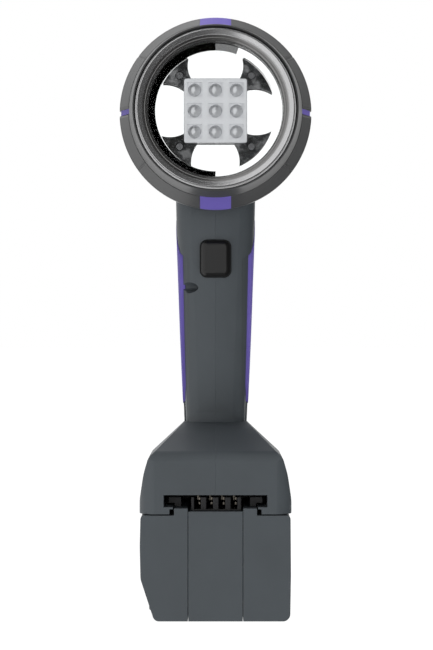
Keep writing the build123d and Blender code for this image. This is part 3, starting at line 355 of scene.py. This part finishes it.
def plastic(name, colour, rough, grain=2400.0, bump=0.12, bevel=0.0005, **more):
    """Moulded plastic: fine spark-eroded texture, slight colour and gloss drift."""
    b = Build(name, **more)
    drift = b.noise(38.0, 3.0)
    b.colour(drift, [(0.35, scaled(colour, 0.94)), (0.65, scaled(colour, 1.06))])
    fine = b.noise(grain)
    b.rough(drift, rough * 0.92, rough * 1.08)
    b.bump(fine, bump, 0.0002, bevel)


def metal(name, colour, rough, stretch=(1, 1, 1), bump=0.05):
    """Bare metal with faint tooling lines, which follow the stretch."""
    b = Build(name, metal=1.0)
    lines = b.noise(900.0, 3.0, 0.6, stretch)
    b.colour(lines, [(NOISE_LOW, scaled(colour, 0.9)), (NOISE_HIGH, colour)])
    b.rough(lines, rough * 0.8, rough * 1.25)
    b.bump(lines, bump, 0.0001)


def turned_metal(name, node, step, inner, outer, rough, weight):
    """A turned ring: satin silver outside the radius step, and darker on the lips inside it."""
    b = Build(name, metal=weight)
    low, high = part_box(node)
    middle = (low + high) / 2
    flat = b.tree.nodes.new("ShaderNodeVectorMath")
    flat.operation = "MULTIPLY"
    flat.inputs[1].default_value = (1, 0, 1)
    reach = b.tree.nodes.new("ShaderNodeVectorMath")
    reach.operation = "DISTANCE"
    reach.inputs[1].default_value = (middle.x, 0, middle.z)
    b.tree.links.new(b.coord.outputs["Object"], flat.inputs[0])
    b.tree.links.new(flat.outputs[0], reach.inputs[0])
    share = Sums(b.tree).math("DIVIDE", reach.outputs["Value"], 2 * step)  # 0.5 at the step
    b.colour(share, [(0.498, inner), (0.502, outer)])
    b.rough(b.noise(60.0), rough * 0.95, rough * 1.05)


def clear(name, colour, rough, transmission, **more):
    """Moulded clear plastic, with a slight haze."""
    b = Build(name, transmission=transmission, ior=1.49, **more)
    haze = b.noise(160.0, 3.0)
    b.colour(haze, [(NOISE_LOW, scaled(colour, 0.97)), (NOISE_HIGH, colour)])
    b.rough(haze, rough * 0.8, rough * 1.2)


def clear_glass():
    """Front glass: thin, almost unseen, with a faint gloss."""
    b = Build("clear_glass", colour=(1, 1, 1, 1), metal=1.0)
    tree = b.tree
    out = tree.nodes["Material Output"]
    through = tree.nodes.new("ShaderNodeBsdfTransparent")
    through.inputs["Color"].default_value = (0.985, 0.99, 0.99, 1)
    mix = tree.nodes.new("ShaderNodeMixShader")
    fresnel = tree.nodes.new("ShaderNodeFresnel")
    fresnel.inputs["IOR"].default_value = 1.08
    b.rough(b.noise(60.0, 3.0), 0.004, 0.01)
    tree.links.new(fresnel.outputs[0], mix.inputs[0])
    tree.links.new(through.outputs[0], mix.inputs[1])
    tree.links.new(b.shader.outputs[0], mix.inputs[2])
    tree.links.new(mix.outputs[0], out.inputs["Surface"])


def black_with_painted_highlights():
    """The lens clamp: satin black, with cloudy lighter patches that are painted highlights."""
    b = Build("clamp_plastic", specular=0.25)
    highlight_cloud = b.noise(140.0, 7.0, 0.6)
    # the light stop paints mottled highlights into the base colour; the dark and mid stops are the black
    # plastic
    dark, mid, light = (0.002, 0.002, 0.002), (0.045, 0.046, 0.048), (0.27, 0.27, 0.275)
    b.colour(highlight_cloud, [(0.4, dark), (0.5, mid), (0.62, light)])
    b.rough(highlight_cloud, 0.25, 0.5)
    b.bump(highlight_cloud, 0.35, 0.0006)


def circuit(name, colour):
    """Solder mask with faint tracks and pads."""
    b = Build(name, coat=0.3, coat_rough=0.2)
    tracks = b.noise(260.0, 1.0, 0.3, (1, 1, 3))
    pads = [(0.48, colour), (0.5, scaled(colour, 1.7)), (0.52, colour), (0.7, scaled(colour, 1.2))]
    b.colour(tracks, pads)
    b.rough(tracks, 0.3, 0.45)
    b.bump(tracks, 0.1, 0.0001)


CHARCOAL = (0.066, 0.076, 0.084)
VIOLET = (0.165, 0.128, 0.470)
BEZEL_GREY = (0.069, 0.070, 0.071)
TRIGGER_BLACK = (0.011, 0.011, 0.011)
TRIM_LIPS, TRIM_SILVER = (0.2, 0.198, 0.196), (0.49, 0.49, 0.495)
TRIM_STEP = 0.0375  # radius where the trim ring's inner lips begin


def make_materials():
    """One material for each slot in the record."""
    plastic("housing_plastic", CHARCOAL, 0.5, bevel=0.0003)
    plastic("pack_plastic", CHARCOAL, 0.5, bevel=0.0006)
    plastic("bezel_plastic", BEZEL_GREY, 0.38, bump=0.05, bevel=0.0003, specular=0.32)
    plastic("accent_plastic", scaled(VIOLET, 1.05), 0.5, specular=0.2)
    plastic("grip_rubber", scaled(VIOLET, 1.08), 0.6, grain=1500.0, bump=0.2, specular=0.3)
    turned_metal("trim_metal", "trim_ring", TRIM_STEP, TRIM_LIPS, TRIM_SILVER, 0.25, 0.8)
    clear_glass()
    plastic("seal_rubber", (0.02, 0.02, 0.02), 0.7)
    metal("reflector_mirror", (0.97, 0.97, 0.97), 0.012, bump=0.0)
    black_with_painted_highlights()
    clear("lens_clear", (0.78, 0.785, 0.81), 0.08, 0.1, metal=0.28)
    circuit("board", (0.01, 0.07, 0.035))
    clear("emitter", (0.85, 0.8, 0.45), 0.1, 0.4)
    metal("sink_aluminium", (0.62, 0.63, 0.64), 0.35, (1, 6, 1))
    plastic("fan_plastic", (0.015, 0.015, 0.016), 0.45)
    metal("screw_steel", (0.16, 0.16, 0.165), 0.35)
    metal("spring_steel", (0.6, 0.6, 0.61), 0.25)
    plastic("trigger_plastic", TRIGGER_BLACK, 0.3, bump=0.03, bevel=0.0, specular=0.35)
    plastic("switch_plastic", (0.02, 0.02, 0.021), 0.5)
    plastic("component", (0.03, 0.03, 0.034), 0.4)
    plastic("wire_cover", (0.35, 0.02, 0.02), 0.4, bevel=0.0)
    metal("contact_brass", (0.22, 0.2, 0.17), 0.35)
    plastic("rail_plastic", (0.011, 0.011, 0.012), 0.5)
    plastic("cell_wrap", (0.02, 0.12, 0.2), 0.3)
    plastic("holder_plastic", (0.03, 0.03, 0.033), 0.5)
    plastic("latch_plastic", (0.025, 0.025, 0.027), 0.35)
    clear("light_pipe", (0.8, 0.86, 0.8), 0.2, 0.6)


def dress_nodes():
    """Gives every carried-over CAD node the material of its slot in the record."""
    for entry in frame["record"]["subparts"]:
        obj = NODES[entry["node"]]
        obj.data.materials.clear()
        obj.data.materials.append(MATERIALS[entry["material_slot"]])


# ---------------------------------------------------------------- springs


def squeezed_spring(node, axis, fixed_end):
    """A copy of the CAD coil, carried by the body that holds it, stands in for the hidden CAD coil. Like
    the CAD coil, which is rigid, the copy doesn't shorten as its button goes in.
    """
    low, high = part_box(node)
    along = Vector(axis)
    length = (high - low).dot(along)
    body = next(name for name, held in BEHAVIOUR["bodies"].items() if node in held)
    anchor = (low + high) / 2
    anchor += along * (length / 2 if fixed_end == "high" else -length / 2)
    coil = bpy.data.objects.new(node + "_coil", NODES[node].data.copy())
    bpy.context.scene.collection.objects.link(coil)
    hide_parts(node)
    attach(coil, body)
    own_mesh(coil)


make_camera()
make_backdrop()
make_reflections()
make_floor()
make_lights()
make_materials()
dress_nodes()
squeezed_spring("trigger_spring", (0, 1, 0), "high")
squeezed_spring("latch_spring", (0, 0, 1), "low")
bpy.context.scene.view_settings.view_transform = "Standard"
